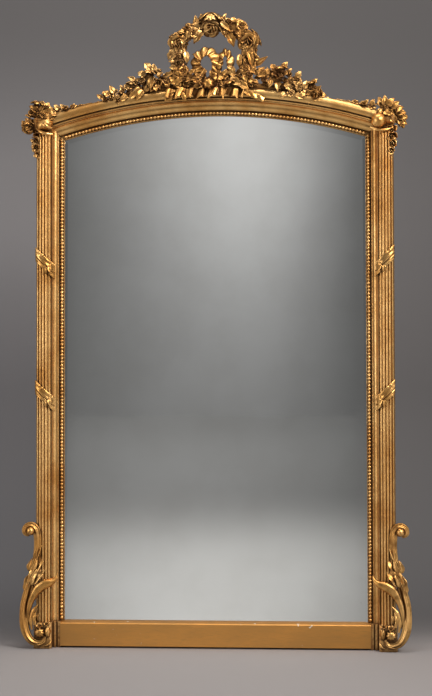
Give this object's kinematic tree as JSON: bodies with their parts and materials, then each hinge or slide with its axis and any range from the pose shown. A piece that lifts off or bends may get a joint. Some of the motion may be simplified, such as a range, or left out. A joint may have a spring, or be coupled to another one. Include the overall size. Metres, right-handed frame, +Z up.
{
  "type": "trumeau mirror",
  "caption": "Tall arched giltwood mirror with reeded columns, a beaded sight edge, a crest of roses and ribbon, leafed corners and scrolled feet.",
  "frame": {"origin": "on the floor, under the centre of the bounding box", "axes": "+Z up, the looking glass faces -Y, +X to the right of someone facing it"},
  "size_m": [1.2128, 0.1208, 1.978],
  "materials": {
    "gilding": "water-gilt carved wood and composition, burnished high parts, worn to red bole, dark in the hollows",
    "matt_gilding": "matt ochre gilding on a flat board, rubbed and a little chipped",
    "silvered_glass": "old bevelled looking glass, slightly grey, with faint specks in the silvering",
    "softwood": "aged pine, unfinished",
    "backboard_wood": "thin aged pine boards, dusty and darkened"
  },
  "bodies": {
    "root": {"beads_head": "gilding", "beads_left": "gilding", "beads_right": "gilding", "column_left": "gilding", "column_right": "gilding", "corner_block_left": "gilding", "corner_block_right": "gilding", "corner_shell_left": "gilding", "corner_shell_right": "gilding", "corner_spray_left": "gilding", "corner_spray_right": "gilding", "corner_trail_left": "gilding", "corner_trail_right": "gilding", "cornice": "gilding", "cove_head": "gilding", "cove_left": "gilding", "cove_right": "gilding", "crest_bow_left": "gilding", "crest_bow_right": "gilding", "crest_mound": "gilding", "crest_ruffle": "gilding", "crest_spray_left": "gilding", "crest_spray_right": "gilding", "crest_wreath": "gilding", "foot_boss_left": "gilding", "foot_boss_right": "gilding", "foot_scroll_left": "gilding", "foot_scroll_right": "gilding", "husk_drop_left": "gilding", "husk_drop_right": "gilding", "plinth_left": "gilding", "plinth_right": "gilding", "ribbon_lower_left": "gilding", "ribbon_lower_right": "gilding", "ribbon_upper_left": "gilding", "ribbon_upper_right": "gilding", "base_rail": "matt_gilding", "mirror_plate": "silvered_glass", "carcass_bottom_rail": "softwood", "carcass_head": "softwood", "crest_brace": "softwood", "glazing_block_1_left": "softwood", "glazing_block_1_right": "softwood", "glazing_block_2_left": "softwood", "glazing_block_2_right": "softwood", "glazing_block_3_left": "softwood", "glazing_block_3_right": "softwood", "stile_left": "softwood", "stile_right": "softwood", "backboard_1": "backboard_wood", "backboard_2": "backboard_wood", "backboard_3": "backboard_wood", "backboard_4": "backboard_wood", "backboard_5": "backboard_wood"}
  },
  "joints": []
}
